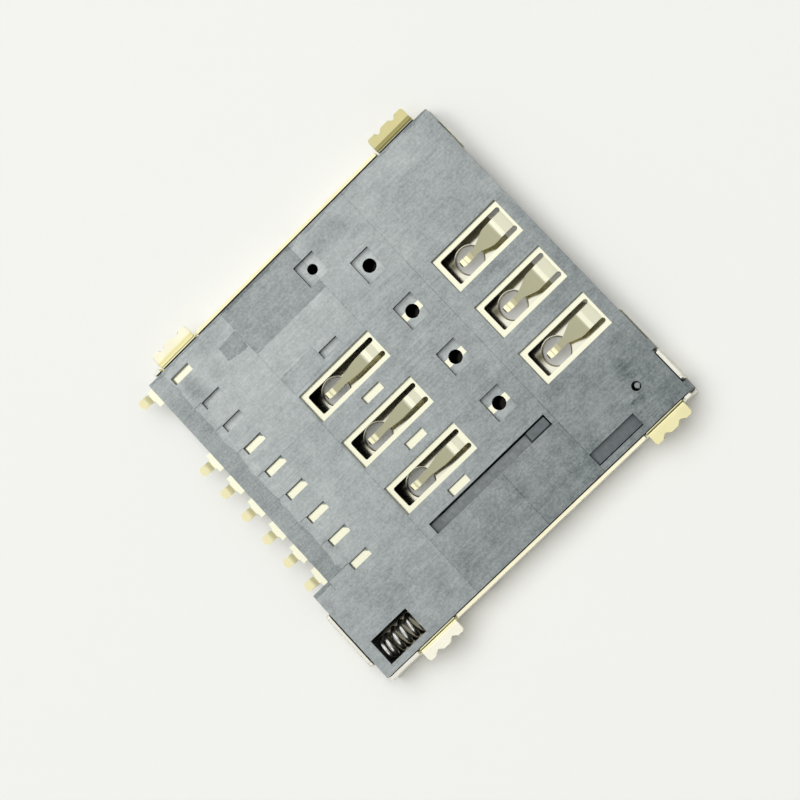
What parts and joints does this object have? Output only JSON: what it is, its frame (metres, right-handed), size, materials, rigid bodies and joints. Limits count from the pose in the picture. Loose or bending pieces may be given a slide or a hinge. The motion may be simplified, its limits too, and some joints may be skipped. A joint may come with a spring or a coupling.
{
  "type": "micro sim card socket",
  "caption": "Flat push-push micro SIM card socket: plastic frame in a folded sheet cover, with spring contacts, a sprung slider with a heart cam, and solder tails.",
  "frame": {"origin": "on the cover's outer face, under the middle of the contact field", "axes": "+X along a contact row towards the slider, +Y out of the card mouth, +Z towards the circuit board"},
  "size_m": [0.0168, 0.017, 0.0014],
  "materials": {
    "housing_plastic": "matte glass-filled polymer, grey, with faint flow streaks",
    "slider_plastic": "matte glass-filled polymer, dark grey",
    "cover_steel": "rolled sheet with a thin gold flash on the solder tabs",
    "contact_bronze": "pale gold plated copper alloy strip",
    "spring_steel": "bright drawn wire"
  },
  "bodies": {
    "socket": {"housing": "housing_plastic", "cover_shell": "cover_steel", "front_contact_1": "contact_bronze", "front_contact_2": "contact_bronze", "front_contact_3": "contact_bronze", "rear_contact_1": "contact_bronze", "rear_contact_2": "contact_bronze", "rear_contact_3": "contact_bronze", "detect_contact": "contact_bronze", "return_spring": "spring_steel"},
    "slider": {"slider": "slider_plastic"},
    "pin": {"cam_pin": "spring_steel"}
  },
  "joints": [
    {"name": "slider_travel", "type": "slide", "parent": "socket", "child": "slider", "axis": [0, -1, 0], "range_m": [0, 0.0024], "stiffness_N_per_m": 300, "springref_m": -0.002, "deforming": ["return_spring"]},
    {"name": "cam_pin_swing", "type": "hinge", "parent": "socket", "child": "pin", "pos_m": [0.00584, 0.00526, 0.00037], "axis": [0, 0, 1], "range_deg": [0, 9.5]}
  ],
  "couplings": [
    {"joint": "cam_pin_swing", "follows": "slider_travel", "rad_per_m": 69.086}
  ]
}
